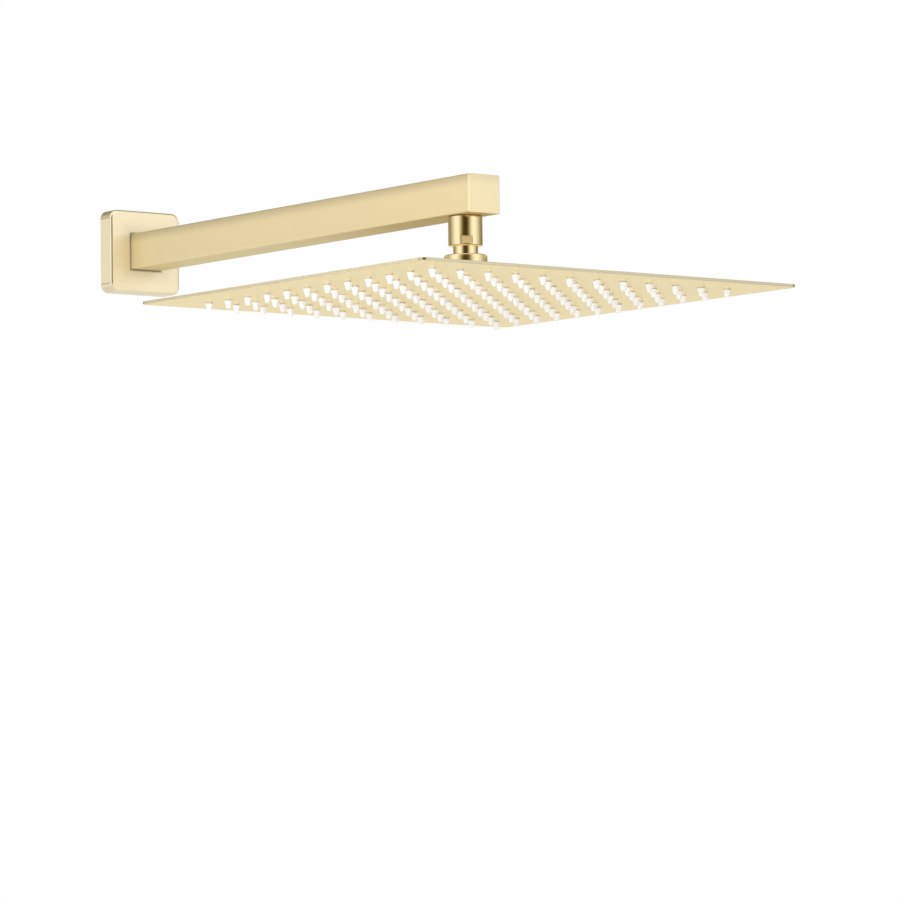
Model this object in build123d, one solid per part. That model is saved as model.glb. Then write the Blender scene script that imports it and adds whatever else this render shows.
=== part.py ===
"""Wall-mounted square rain shower: straight square arm, sliding wall flange, ball joint, thin square head.

Millimetres. The origin is the centre of the arm's wall thread, at the wall plane. +Z is up and +Y points
into the wall, so the arm runs out towards -Y and the head hangs below its far end.
"""
from build123d import *
import os
from math import cos, radians, sin

# --- Driving dimensions: the arm -------------------------------------------------------------------
ARM_LENGTH = 400.0            # wall plane to the arm's end face
ARM_SIDE = 25.0               # square tube
ARM_WALL = 1.5
ARM_CORNER = 1.2              # outside corner radius of the tube
ARM_START = 4.0               # the tube stops this far short of the wall plane
CAP_THICKNESS = 1.5           # plate welded over the open end
CAP_EDGE = 0.4
OUTLET_FROM_END = 20.4        # end face to the outlet's axis

# --- The wall connection ---------------------------------------------------------------------------
WALL_THREAD_RADIUS = 10.4775  # G1/2 male, 20.955 across its crests
WALL_THREAD_LENGTH = 19.0
WALL_THREAD_CHAMFER = 1.0
WALL_BORE_RADIUS = 7.5
PLUG_DEPTH = 12.0             # square plug brazed inside the tube
PLUG_GAP = 0.05

# --- The flange that slides on the arm -------------------------------------------------------------
FLANGE_SIDE = 58.0
FLANGE_DEPTH = 15.0           # wall plane to the flange's front face
FLANGE_CORNER = 6.0
FLANGE_EDGE = 2.2             # radius of the soft front edge
FLANGE_WALL = 1.2
FLANGE_GAP = 0.3              # between the flange's square hole and the arm
COLLAR_SIDE = 33.0            # square collar behind the face that holds the rubber ring
COLLAR_WALL = 1.0
COLLAR_DEPTH = 4.5
GRIP_GAP = 0.1                # rubber ring to the arm
FOAM_THICKNESS = 1.5
FOAM_SIDE = 56.0
FOAM_WIDTH = 3.0

# --- The head --------------------------------------------------------------------------------------
HEAD_SIDE = 300.0
HEAD_THICKNESS = 2.0
HEAD_CORNER = 4.0
HEAD_DROP = 51.5              # arm's underside to the head's underside
SHEET = 0.5                   # each of the two steel sheets
SHEET_EDGE = 0.25             # rounded outer edge of each sheet
RIM_WIDTH = 3.0
INLET_RADIUS = 8.0
NOZZLE_ROWS = 12
NOZZLE_PITCH = 21.5
NOZZLE_HOLE = 2.0             # radius of the hole in the face sheet
SPACER_ROWS = 5
SPACER_RADIUS = 2.5

# --- The ball joint: heights are measured up from the head's underside -----------------------------
NUT_RADIUS = 11.0
NUT_TOP_GAP = 0.3             # below the arm's underside
NUT_BOTTOM = 32.2
NUT_CHAMFER = 0.4
FLAT_HALF_WIDTH = 3.8         # wrench flats on the upper nut
FLAT_HEIGHT = (32.9, 37.9)
FLAT_TURN = -33.0             # degrees about the vertical axis
NECK_RADIUS = 8.0
BALL_HEIGHT = 17.0            # centre of the ball
BALL_RADIUS = 11.5
BALL_CUT = 8.5                # the ball is cut off flat this far below its centre
BALL_PLAY = 0.06              # radial gap between the ball and its seats
STUD_THREAD_RADIUS = 8.33     # G3/8 male, 16.66 across its crests
THREAD_PLAY = 0.05
STUD_THREAD_END = 41.0
STUD_FLOOR = 38.8             # shoulder that the washer sits on
WASHER_THICKNESS = 2.0
WASHER_HOLE = 4.8
THROAT_RADIUS = 4.5
THROAT_FLOOR = 34.3
WATERWAY_RADIUS = 3.5
OUTLET_BORE = 6.0
RETAINER_RADIUS = 16.0
RETAINER_WAIST = 13.9         # radius of the cap nut's upper part
RETAINER_BOTTOM = 4.4
RETAINER_TOP = 26.3
MOUTH_RADIUS = 10.5
SHOULDER_HEIGHT = 18.5        # where the cap nut starts to narrow
HUB_RADIUS = 14.5
HUB_TOP = 14.5
HUB_FLANGE_RADIUS = 22.0
HUB_FLANGE_THICKNESS = 2.0
HUB_FLOOR = 8.0
SEAT_RADIUS = 12.5
RING_RADIUS = 12.6
RING_HEIGHT = (18.0, 23.0)
SEAT_HEIGHT = (8.1, 16.0)
TURN_GAP = 0.1                # around parts that turn inside another
SEAL_RING_RADIUS = 10.26
SEAL_WIRE_RADIUS = 1.2
SEAL_HEIGHT = 9.28
SEAL_POCKET = 11.5

# --- Worked out from the above ---------------------------------------------------------------------
OUTLET_Y = -(ARM_LENGTH - OUTLET_FROM_END)
ARM_UNDERSIDE = -ARM_SIDE / 2
HEAD_UNDERSIDE = ARM_UNDERSIDE - HEAD_DROP
HEAD_PLACE = Pos(0, OUTLET_Y, HEAD_UNDERSIDE)
BALL_PLACE = Pos(0, 0, BALL_HEIGHT)
ARM_INSIDE = ARM_SIDE - 2 * ARM_WALL
FACE = Plane.XZ               # its normal is -Y, out of the wall


def bar(side, corner, start, end, other_side=None):
    """A square bar with rounded corners along -Y, from `start` to `end` millimetres off the wall plane."""
    outline = RectangleRounded(side, other_side or side, corner)
    return Pos(0, -start, 0) * extrude(FACE * outline, amount=end - start)


def turned(points):
    """A solid turned about Z from an outline of (radius, height) points."""
    return revolve(FACE * make_face(Polyline(*points, close=True)), Axis.Z)


def sleeve(outer, inner, low, high):
    """A plain tube about Z."""
    return turned([(inner, low), (outer, low), (outer, high), (inner, high)])


def disc(radius, low, high):
    """A plain round bar about Z."""
    return Pos(0, 0, low) * extrude(Circle(radius), amount=high - low)


def front_edges(shape):
    """The edges of a shape's foremost face."""
    return shape.faces().sort_by(Axis.Y)[0].outer_wire().edges()


def sheet(low, side=HEAD_SIDE, corner=HEAD_CORNER, thickness=SHEET, cuts=()):
    """A flat square sheet of the head, with round holes cut as (locations, radius)."""
    outline = RectangleRounded(side, side, corner)
    for places, radius in cuts:
        outline -= places * Circle(radius)
    return Pos(0, 0, low) * extrude(outline, amount=thickness)


# --- Arm -------------------------------------------------------------------------------------------
def arm_tube():
    """Square tube, open at the wall end, with the outlet's hole in its underside."""
    end = ARM_LENGTH - CAP_THICKNESS
    tube = bar(ARM_SIDE, ARM_CORNER, ARM_START, end)
    tube -= bar(ARM_INSIDE, 0.3, ARM_START, end)
    outlet = Cylinder(STUD_THREAD_RADIUS + THREAD_PLAY, 3 * ARM_WALL)
    return tube - Pos(0, OUTLET_Y, ARM_UNDERSIDE + ARM_WALL / 2) * outlet


def arm_end_cap():
    """Plate welded over the tube's open end and polished flush."""
    cap = bar(ARM_SIDE, ARM_CORNER, ARM_LENGTH - CAP_THICKNESS, ARM_LENGTH)
    return fillet(front_edges(cap), CAP_EDGE)


def wall_connector():
    """Brass plug brazed into the tube, with the threaded nipple that screws into the wall."""
    plug = bar(ARM_INSIDE - 2 * PLUG_GAP, 0.6, ARM_START, ARM_START + PLUG_DEPTH)
    nipple = Cylinder(WALL_THREAD_RADIUS, WALL_THREAD_LENGTH)
    nipple = chamfer(nipple.edges().sort_by(Axis.Z)[-1], WALL_THREAD_CHAMFER)
    nipple = Pos(0, WALL_THREAD_LENGTH / 2 - ARM_START, 0) * Rot(-90, 0, 0) * nipple
    bore = Rot(90, 0, 0) * Cylinder(WALL_BORE_RADIUS, 4 * WALL_THREAD_LENGTH)
    return plug + nipple - bore


def outlet_nipple():
    """Brass nipple through the arm's underside, with a collar inside the tube and a thread below."""
    collar_top = HEAD_DROP + ARM_WALL + 2.0
    collar_foot = HEAD_DROP + ARM_WALL
    collar_radius = ARM_INSIDE / 2 - 0.6
    thread_foot = STUD_THREAD_END + 0.6
    return turned([
        (OUTLET_BORE, STUD_THREAD_END), (STUD_THREAD_RADIUS - 0.6, STUD_THREAD_END),
        (STUD_THREAD_RADIUS, thread_foot), (STUD_THREAD_RADIUS, collar_foot),
        (collar_radius, collar_foot), (collar_radius, collar_top), (OUTLET_BORE, collar_top),
    ])


# --- Flange ----------------------------------------------------------------------------------------
def wall_flange():
    """Pressed square cover, hollow behind, with a square hole that slides along the arm."""
    shell = bar(FLANGE_SIDE, FLANGE_CORNER, FOAM_THICKNESS, FLANGE_DEPTH)
    shell = fillet(front_edges(shell), FLANGE_EDGE)
    face_back = FLANGE_DEPTH - FLANGE_WALL
    hollow = bar(FLANGE_SIDE - 2 * FLANGE_WALL, FLANGE_CORNER - FLANGE_WALL, FOAM_THICKNESS, face_back)
    hollow = fillet(front_edges(hollow), FLANGE_EDGE - FLANGE_WALL)
    collar = bar(COLLAR_SIDE, 3.0, face_back - COLLAR_DEPTH, face_back)
    collar -= bar(COLLAR_SIDE - 2 * COLLAR_WALL, 2.0, face_back - COLLAR_DEPTH, face_back)
    hole = bar(ARM_SIDE + 2 * FLANGE_GAP, ARM_CORNER + FLANGE_GAP, 0, FLANGE_DEPTH)
    return shell - hollow - hole + collar


def flange_grip_ring():
    """Square rubber ring in the flange's collar that grips the arm."""
    face_back = FLANGE_DEPTH - FLANGE_WALL
    span = (face_back - COLLAR_DEPTH + 0.2, face_back)
    ring = bar(COLLAR_SIDE - 2 * COLLAR_WALL - 0.1, 1.9, *span)
    return ring - bar(ARM_SIDE + 2 * GRIP_GAP, ARM_CORNER + GRIP_GAP, *span)


def flange_foam_gasket():
    """Closed-cell foam frame that the flange presses against the wall."""
    frame = bar(FOAM_SIDE, FLANGE_CORNER - 1, 0, FOAM_THICKNESS)
    return frame - bar(FOAM_SIDE - 2 * FOAM_WIDTH, FLANGE_CORNER - FOAM_WIDTH, 0, FOAM_THICKNESS)


# --- Ball stud: the upper nut, neck and ball are one piece -----------------------------------------
def ball_stud():
    """Brass nut, neck and ball turned from one bar, bored for water, with two wrench flats."""
    top = HEAD_DROP - NUT_TOP_GAP
    stud = turned([
        (0, BALL_HEIGHT), (NECK_RADIUS, BALL_HEIGHT), (NECK_RADIUS, NUT_BOTTOM),
        (NUT_RADIUS - NUT_CHAMFER, NUT_BOTTOM), (NUT_RADIUS, NUT_BOTTOM + NUT_CHAMFER),
        (NUT_RADIUS, top - NUT_CHAMFER), (NUT_RADIUS - NUT_CHAMFER, top), (0, top),
    ])
    stud += BALL_PLACE * Sphere(BALL_RADIUS)
    stud -= disc(2 * BALL_RADIUS, 0, BALL_HEIGHT - BALL_CUT)
    stud -= disc(WATERWAY_RADIUS, 0, top)
    stud -= disc(THROAT_RADIUS, THROAT_FLOOR, top)
    stud -= disc(STUD_THREAD_RADIUS + THREAD_PLAY, STUD_FLOOR, top)
    flat_depth = NUT_RADIUS - (NUT_RADIUS**2 - FLAT_HALF_WIDTH**2) ** 0.5
    low, high = FLAT_HEIGHT
    cutter = Box(4 * FLAT_HALF_WIDTH, 2 * flat_depth, high - low)
    for turn in (FLAT_TURN, FLAT_TURN + 180):
        stud -= Rot(0, 0, turn) * Pos(0, -NUT_RADIUS, (low + high) / 2) * cutter
    return stud


def stud_washer():
    """Flat rubber washer between the stud's shoulder and the outlet nipple."""
    return sleeve(STUD_THREAD_RADIUS, WASHER_HOLE, STUD_FLOOR, STUD_FLOOR + WASHER_THICKNESS)


def filter_screen():
    """Round sieve held in the washer's hole."""
    holes = HexLocations(0.75, 7, 7) * Circle(0.45)
    mesh = Circle(WASHER_HOLE - 0.05) - [hole for hole in holes if hole.center().length < 4.0]
    return Pos(0, 0, STUD_FLOOR + 0.6) * extrude(mesh, amount=0.5)


def flow_restrictor():
    """Moulded plastic disc with six small ports, dropped into the stud's throat."""
    body = disc(THROAT_RADIUS - 0.05, THROAT_FLOOR, STUD_FLOOR - 0.5)
    for place in PolarLocations(2.6, 6):
        body -= place * disc(0.8, THROAT_FLOOR, STUD_FLOOR)
    return body


# --- Ball seats ------------------------------------------------------------------------------------
def upper_bearing_ring():
    """Nylon ring above the ball's waist."""
    return sleeve(RING_RADIUS, NECK_RADIUS, *RING_HEIGHT) - BALL_PLACE * Sphere(BALL_RADIUS + BALL_PLAY)


def ball_seat():
    """Nylon cup under the ball, with a pocket for the seal."""
    low, high = SEAT_HEIGHT
    seat = disc(SEAT_RADIUS, low, high) - BALL_PLACE * Sphere(BALL_RADIUS + BALL_PLAY)
    return seat - disc(SEAL_POCKET, low, SEAL_HEIGHT + SEAL_WIRE_RADIUS + 0.02)


def ball_seal():
    """Rubber O-ring that wipes the ball."""
    return Pos(0, 0, SEAL_HEIGHT) * Torus(SEAL_RING_RADIUS, SEAL_WIRE_RADIUS)


# --- Head ------------------------------------------------------------------------------------------
def retaining_nut():
    """Brass cap nut that screws onto the hub, narrows above it and closes over the ball."""
    hub_bore = HUB_RADIUS + THREAD_PLAY
    ring_bore = RING_RADIUS + TURN_GAP
    shoulder = HUB_TOP + 0.2
    lip = RING_HEIGHT[1] + TURN_GAP
    nut = turned([
        (hub_bore, RETAINER_BOTTOM), (RETAINER_RADIUS - 0.4, RETAINER_BOTTOM),
        (RETAINER_RADIUS, RETAINER_BOTTOM + 0.4), (RETAINER_RADIUS, SHOULDER_HEIGHT),
        (RETAINER_WAIST, SHOULDER_HEIGHT + RETAINER_RADIUS - RETAINER_WAIST),
        (RETAINER_WAIST, RETAINER_TOP - 0.9), (RETAINER_WAIST - 0.3, RETAINER_TOP - 0.3),
        (RETAINER_WAIST - 0.9, RETAINER_TOP), (MOUTH_RADIUS, RETAINER_TOP),
        (MOUTH_RADIUS - 0.4, lip), (ring_bore, lip), (ring_bore, shoulder), (hub_bore, shoulder),
    ])
    flat = Box(2 * RETAINER_RADIUS, 2.0, 8.0)
    for turn in (0, 180):
        nut -= Rot(0, 0, turn) * Pos(0, -RETAINER_RADIUS, 11.0) * flat
    return nut


def hub():
    """Brass boss welded to the head's top sheet, which holds the ball seat and carries the cap nut."""
    foot = HEAD_THICKNESS
    shoulder = foot + HUB_FLANGE_THICKNESS
    bore = SEAT_RADIUS + TURN_GAP
    return turned([
        (INLET_RADIUS, foot), (HUB_FLANGE_RADIUS, foot), (HUB_FLANGE_RADIUS, shoulder - 0.8),
        (HUB_FLANGE_RADIUS - 0.8, shoulder), (HUB_RADIUS, shoulder), (HUB_RADIUS, HUB_TOP),
        (bore, HUB_TOP), (bore, HUB_FLOOR), (INLET_RADIUS, HUB_FLOOR),
    ])


def top_plate():
    """Upper steel sheet with the water inlet."""
    top = sheet(HEAD_THICKNESS - SHEET, cuts=[(Pos(0, 0, 0), INLET_RADIUS)])
    return fillet(top.faces().sort_by(Axis.Z)[-1].outer_wire().edges(), SHEET_EDGE)


def nozzle_places():
    """Square grid of nozzle positions about the head's centre."""
    return GridLocations(NOZZLE_PITCH, NOZZLE_PITCH, NOZZLE_ROWS, NOZZLE_ROWS)


def face_plate():
    """Lower steel sheet with one hole for each nozzle."""
    face = sheet(0, cuts=[(nozzle_places(), NOZZLE_HOLE)])
    return fillet(face.faces().sort_by(Axis.Z)[0].outer_wire().edges(), SHEET_EDGE)


def rim_frame():
    """Narrow frame between the two sheets, welded and polished flush around the edge."""
    gap = HEAD_THICKNESS - 2 * SHEET
    frame = sheet(SHEET, thickness=gap)
    return frame - sheet(SHEET, HEAD_SIDE - 2 * RIM_WIDTH, HEAD_CORNER - RIM_WIDTH, gap)


def spacer_studs():
    """Round distance pieces that keep the two sheets apart, on a grid that misses the inlet."""
    pitch = 2 * NOZZLE_PITCH
    stud = disc(SPACER_RADIUS, SHEET, HEAD_THICKNESS - SHEET)
    places = GridLocations(pitch, pitch, SPACER_ROWS, SPACER_ROWS)
    return Compound([place * stud for place in places if place.position.length > INLET_RADIUS])


def nozzles():
    """Soft silicone nozzles, each with a head inside the chamber, a collar and a tapered spout."""
    nozzle = turned([
        (1.1, SHEET + 0.6), (3.0, SHEET + 0.6), (3.0, SHEET), (NOZZLE_HOLE - 0.05, SHEET),
        (NOZZLE_HOLE - 0.05, -0.3), (2.75, -0.6), (2.65, -1.2), (2.1, -2.4), (1.65, -4.2),
        (1.45, -5.2), (1.2, -5.5), (0.45, -5.5), (0.45, -4.2), (1.1, -2.6),
    ])
    return Compound([place * nozzle for place in nozzle_places()])


ARM_PARTS = [arm_tube, arm_end_cap, wall_connector, wall_flange, flange_grip_ring, flange_foam_gasket]
HEAD_PARTS = [
    outlet_nipple, ball_stud, stud_washer, filter_screen, flow_restrictor, upper_bearing_ring, ball_seat,
    ball_seal, retaining_nut, hub, top_plate, face_plate, rim_frame, spacer_studs, nozzles,
]

os.makedirs("parts", exist_ok=True)
for make in ARM_PARTS:
    export_step(make(), f"parts/{make.__name__}.step")
for make in HEAD_PARTS:
    export_step(HEAD_PLACE * make(), f"parts/{make.__name__}.step")
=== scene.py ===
"""Wall-mounted square rain shower: looks for the arm, flange, ball joint and spray head.

Metres, in the model's own frame: the origin is the arm's wall thread at the wall plane, +Z is up and the
arm runs out towards -Y. Pieces are made in the order that the shower is put together.
"""
import bmesh
import bpy
import math
from mathutils import Matrix, Vector


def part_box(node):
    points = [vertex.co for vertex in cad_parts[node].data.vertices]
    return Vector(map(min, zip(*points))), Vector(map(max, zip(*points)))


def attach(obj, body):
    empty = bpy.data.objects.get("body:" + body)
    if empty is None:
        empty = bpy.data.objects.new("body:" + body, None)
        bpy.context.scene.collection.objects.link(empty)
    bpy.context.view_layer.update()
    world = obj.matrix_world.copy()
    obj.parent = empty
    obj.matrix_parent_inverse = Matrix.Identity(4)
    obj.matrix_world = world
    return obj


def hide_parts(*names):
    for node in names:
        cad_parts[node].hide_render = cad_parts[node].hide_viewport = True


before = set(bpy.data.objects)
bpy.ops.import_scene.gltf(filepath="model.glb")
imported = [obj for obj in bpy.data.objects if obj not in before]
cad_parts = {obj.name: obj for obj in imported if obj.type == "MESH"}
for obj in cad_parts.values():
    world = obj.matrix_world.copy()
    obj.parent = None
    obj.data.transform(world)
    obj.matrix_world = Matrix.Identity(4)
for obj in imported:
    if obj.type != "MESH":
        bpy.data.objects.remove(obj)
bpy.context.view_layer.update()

# --- Camera ----------------------------------------------------------------------------------------
# A long lens, a little below the head and to the left of the arm, held not quite level.
VIEW_AZIMUTH = math.radians(-37.854)
VIEW_ELEVATION = math.radians(-4.113)
VIEW_ROLL = math.radians(-0.759)
CAMERA_PLACE = Vector((-1.8547, -2.7469, -0.3790))
LENS = 188.52

camera_data = bpy.data.cameras.new("studio_camera")
camera_data.lens = LENS
camera_data.sensor_width = 36.0
camera_data.clip_end = 200.0
camera = bpy.data.objects.new("studio_camera", camera_data)
scene = bpy.context.scene
scene.collection.objects.link(camera)
back = Vector((
    math.sin(VIEW_AZIMUTH) * math.cos(VIEW_ELEVATION),
    -math.cos(VIEW_AZIMUTH) * math.cos(VIEW_ELEVATION),
    math.sin(VIEW_ELEVATION),
))
level = (-back).cross(Vector((0, 0, 1))).normalized()
upright = level.cross(-back)
right = level * math.cos(VIEW_ROLL) + upright * math.sin(VIEW_ROLL)
up = upright * math.cos(VIEW_ROLL) - level * math.sin(VIEW_ROLL)
camera.matrix_world = Matrix.Translation(CAMERA_PLACE) @ Matrix((right, up, back)).transposed().to_4x4()
scene.camera = camera

# --- Studio ----------------------------------------------------------------------------------------
# A pale cove whose backdrop, light and reflections are set apart. The reflections are dark behind the
# camera, brightest at either side and dim at the back, where a pale strip runs above eye level; below the
# horizon they are pale. The lamps aren't mirrored. The floor lies a room's height below the wall outlet.
FLOOR_DROP = 2.1
FLOOR_SPAN = 14.0
COVE_SEEN = 1.0
COVE_LIGHT = 0.86
COVE_LOW = 1.0
COVE_STRIP = 0.92
COVE_PEAK = 1.5
HORIZON = (-0.05, 0.04)
STRIP_FOOT = (0.10, 0.20)
STRIP_TOP = (0.32, 0.48)
STRIP_SIDES = (0.25, 0.60)
COVE_TURNS = [
    (0, (0.030, 0.022, 0.0)), (9, (0.040, 0.028, 0.0)), (19, (0.12, 0.09, 0.02)),
    (29, (0.46, 0.43, 0.31)), (41, (1.00, 0.99, 0.95)), (54, (1.30, 1.30, 1.32)),
    (66, (1.24, 1.24, 1.26)), (78, (1.06, 1.06, 1.08)), (90, (0.88, 0.87, 0.84)),
    (104, (0.62, 0.61, 0.55)), (120, (0.26, 0.24, 0.18)), (180, (0.20, 0.18, 0.12)),
]
PALE_FLOOR = (0.90, 0.90, 0.89)
LEFT_CORNER = Vector((-1.0, -0.75, 0.1))
NEAR_CORNER = Vector((-0.5, -0.62, 0.1))
ARM_END = (0, -0.4, 0)
HEAD_CENTRE = (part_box("face_plate")[0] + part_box("face_plate")[1]) / 2

scene.view_settings.view_transform = "Standard"
cove = bpy.data.worlds.new("pale_cove")
scene.world = cove
cove.use_nodes = True
cove_tree = cove.node_tree
cove_glow = cove_tree.nodes["Background"]
cove_path = cove_tree.nodes.new("ShaderNodeLightPath")
cove_way = cove_tree.nodes.new("ShaderNodeTexCoord")
cove_turn = cove_tree.nodes.new("ShaderNodeVectorRotate")
cove_turn.rotation_type = "Z_AXIS"
cove_turn.inputs["Angle"].default_value = -VIEW_AZIMUTH
cove_tree.links.new(cove_way.outputs["Generated"], cove_turn.inputs["Vector"])
cove_parts = cove_tree.nodes.new("ShaderNodeSeparateXYZ")
cove_tree.links.new(cove_turn.outputs[0], cove_parts.inputs[0])
cove_angle = cove_tree.nodes.new("ShaderNodeMath")
cove_angle.operation = "ARCCOSINE"
cove_tree.links.new(cove_parts.outputs["Y"], cove_angle.inputs[0])
cove_share = cove_tree.nodes.new("ShaderNodeMapRange")
cove_share.inputs["From Min"].default_value = math.pi
cove_share.inputs["From Max"].default_value = 0.0
cove_tree.links.new(cove_angle.outputs[0], cove_share.inputs["Value"])
cove_ramp = cove_tree.nodes.new("ShaderNodeValToRGB")
cove_ramp.color_ramp.interpolation = "B_SPLINE"
stops = cove_ramp.color_ramp.elements
while len(stops) < len(COVE_TURNS):
    stops.new(0.5)
for stop, (turn, colour) in zip(stops, COVE_TURNS):
    stop.position = turn / 180
for stop, (turn, colour) in zip(stops, COVE_TURNS):
    stop.color = (*(part / COVE_PEAK for part in colour), 1.0)
cove_tree.links.new(cove_share.outputs["Result"], cove_ramp.inputs["Fac"])
cove_round = cove_tree.nodes.new("ShaderNodeVectorMath")
cove_round.operation = "SCALE"
cove_round.inputs["Scale"].default_value = COVE_PEAK
cove_tree.links.new(cove_ramp.outputs["Color"], cove_round.inputs[0])


def cove_step(axis, start_and_end, below, above):
    """A smooth step between two shares of the direction looked in along one axis; Y runs to the back."""
    start, end = start_and_end
    step = cove_tree.nodes.new("ShaderNodeMapRange")
    step.interpolation_type = "SMOOTHSTEP"
    for label, value in (("From Min", start), ("From Max", end), ("To Min", below), ("To Max", above)):
        step.inputs[label].default_value = value
    cove_tree.links.new(cove_parts.outputs[axis], step.inputs["Value"])
    return step.outputs["Result"]


def cove_mix(factor, first, second):
    """Mixes two cove colours, each a socket or a grey level."""
    mix = cove_tree.nodes.new("ShaderNodeMix")
    mix.data_type = "RGBA"
    sockets = {socket.name: socket for socket in mix.inputs if socket.enabled}
    cove_tree.links.new(factor, sockets["Factor"])
    for name, value in (("A", first), ("B", second)):
        if isinstance(value, float):
            sockets[name].default_value = (value, value, value, 1.0)
        else:
            cove_tree.links.new(value, sockets[name])
    return next(socket for socket in mix.outputs if socket.enabled)


def cove_product(first, second):
    """The product of two sockets."""
    product = cove_tree.nodes.new("ShaderNodeMath")
    product.operation = "MULTIPLY"
    cove_tree.links.new(first, product.inputs[0])
    cove_tree.links.new(second, product.inputs[1])
    return product.outputs[0]


cove_strip = cove_product(cove_step("Z", STRIP_FOOT, 0.0, 1.0), cove_step("Z", STRIP_TOP, 1.0, 0.0))
cove_strip = cove_product(cove_strip, cove_step("Y", STRIP_SIDES, 0.0, 1.0))
low_or_round = cove_mix(cove_step("Z", HORIZON, 1.0, 0.0), cove_round.outputs[0], COVE_LOW)
reflected = cove_mix(cove_strip, low_or_round, COVE_STRIP)
lighting = cove_mix(cove_path.outputs["Is Glossy Ray"], COVE_LIGHT, reflected)
shown = cove_mix(cove_path.outputs["Is Camera Ray"], lighting, COVE_SEEN)
cove_tree.links.new(shown, cove_glow.inputs["Color"])


def around(turn, distance, rise):
    """A place round the head, `turn` degrees to the right of the camera's own side, and risen above it."""
    angle = VIEW_AZIMUTH + math.radians(turn)
    return HEAD_CENTRE + Vector((math.sin(angle) * distance, -math.cos(angle) * distance, rise))


def facing(place, aim):
    """The matrix of something at `place` whose -Z looks at `aim`."""
    turn = (Vector(aim) - Vector(place)).to_track_quat("-Z", "Y")
    return Matrix.Translation(place) @ turn.to_matrix().to_4x4()


def soft_lamp(name, place, aim, width, height, radiance):
    """A large soft lamp that lights surfaces but isn't mirrored in them."""
    lamp = bpy.data.lights.new(name, "AREA")
    lamp.shape = "RECTANGLE"
    lamp.size = width
    lamp.size_y = height
    lamp.energy = radiance * math.pi * width * height
    stand = bpy.data.objects.new(name, lamp)
    scene.collection.objects.link(stand)
    stand.matrix_world = facing(place, aim)
    stand.visible_camera = False
    stand.visible_glossy = False


soft_lamp("left_lamp", LEFT_CORNER, ARM_END, 0.8, 1.2, 3.0)
soft_lamp("near_lamp", NEAR_CORNER, ARM_END, 0.4, 0.5, 2.2)
soft_lamp("right_lamp", around(62, 3.0, 0.3), HEAD_CENTRE, 2.4, 2.6, 0.3)
soft_lamp("top_lamp", around(150, 0.8, 2.6), HEAD_CENTRE, 2.0, 2.0, 1.0)
soft_lamp("nozzle_fill", around(10, 2.6, -1.2), HEAD_CENTRE, 1.6, 1.2, 0.6)


def flat_card(name, half_width, half_height, matrix):
    """A flat rectangle placed by a matrix."""
    bm = bmesh.new()
    bmesh.ops.create_grid(bm, x_segments=1, y_segments=1, size=1.0)
    bmesh.ops.scale(bm, vec=(half_width, half_height, 1), verts=bm.verts)
    bmesh.ops.transform(bm, matrix=matrix, verts=bm.verts)
    mesh = bpy.data.meshes.new(name)
    bm.to_mesh(mesh)
    bm.free()
    card = bpy.data.objects.new(name, mesh)
    scene.collection.objects.link(card)
    return card


def start_material(name, colour, roughness, metallic=0.0):
    """A material with its shader's plain values set, and the tree and shader to go on with."""
    finish = bpy.data.materials.new(name)
    finish.use_nodes = True
    shader = finish.node_tree.nodes["Principled BSDF"]
    shader.inputs["Base Color"].default_value = (*colour, 1.0)
    shader.inputs["Roughness"].default_value = roughness
    shader.inputs["Metallic"].default_value = metallic
    return finish, finish.node_tree, shader


floor = flat_card("floor", FLOOR_SPAN / 2, FLOOR_SPAN / 2, Matrix.Translation((0, 0, -FLOOR_DROP)))
floor_finish, floor_tree, floor_shader = start_material("pale_floor", PALE_FLOOR, 0.7)
floor_side = floor_tree.nodes.new("ShaderNodeNewGeometry")
floor_clear = floor_tree.nodes.new("ShaderNodeBsdfTransparent")
floor_mix = floor_tree.nodes.new("ShaderNodeMixShader")
floor_tree.links.new(floor_side.outputs["Backfacing"], floor_mix.inputs["Fac"])
floor_tree.links.new(floor_shader.outputs[0], floor_mix.inputs[1])
floor_tree.links.new(floor_clear.outputs[0], floor_mix.inputs[2])
floor_tree.links.new(floor_mix.outputs[0], floor_tree.nodes["Material Output"].inputs["Surface"])
floor.data.materials.append(floor_finish)

# --- Arm tube and end cap --------------------------------------------------------------------------
# Square steel tube and the plate welded over its end, ground flush. Both are brushed and coated in one
# champagne gold, the tube lengthwise. The tube's colour is a darker copy of the plate's: painted shade on
# the tube and painted light on the end face. Both are also given painted shade towards their top edges. The
# weld is polished away.
# Painted light and shade: one coating in two copies, darker on the tube and paler on the end plate.
ARM_GOLD_PAINTED_SHADE = (0.75, 0.625, 0.378)
CAP_GOLD_PAINTED_LIGHT = (0.85, 0.74, 0.48)
ARM_EDGE = (0.80, 0.68, 0.44)
ARM_GLANCE = (0.86, 0.77, 0.46)
ARM_ROUGHNESS = 0.42
ARM_METALLIC = 0.6
# Painted shade on the arm's upper sides: it deepens from 4.5 mm above the axis to the top edge at 12.5 mm,
# by these shares on the tube and on the end plate.
PAINTED_SHADE_START = 0.0045
PAINTED_SHADE_END = 0.0125
TUBE_PAINTED_SHADE = 0.30
CAP_PAINTED_SHADE = 0.12
LENGTHWISE = (1.0, 0.012, 1.0)
CROSSWISE = (0.012, 1.0, 1.0)
BUMP_HEIGHT = 0.0001


def effect_group(name, inputs, outputs):
    """A shader node group with named sockets; returns it with its input and output nodes."""
    group = bpy.data.node_groups.new(name, "ShaderNodeTree")
    for label, kind, value in inputs:
        socket = group.interface.new_socket(name=label, in_out="INPUT", socket_type=kind)
        socket.default_value = value
    for label, kind in outputs:
        group.interface.new_socket(name=label, in_out="OUTPUT", socket_type=kind)
    return group, group.nodes.new("NodeGroupInput"), group.nodes.new("NodeGroupOutput")


def math_node(tree, operation, first, second):
    """A Math node whose inputs are sockets or numbers."""
    node = tree.nodes.new("ShaderNodeMath")
    node.operation = operation
    for slot, value in enumerate((first, second)):
        if isinstance(value, (int, float)):
            node.inputs[slot].default_value = value
        else:
            tree.links.new(value, node.inputs[slot])
    return node.outputs[0]


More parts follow.
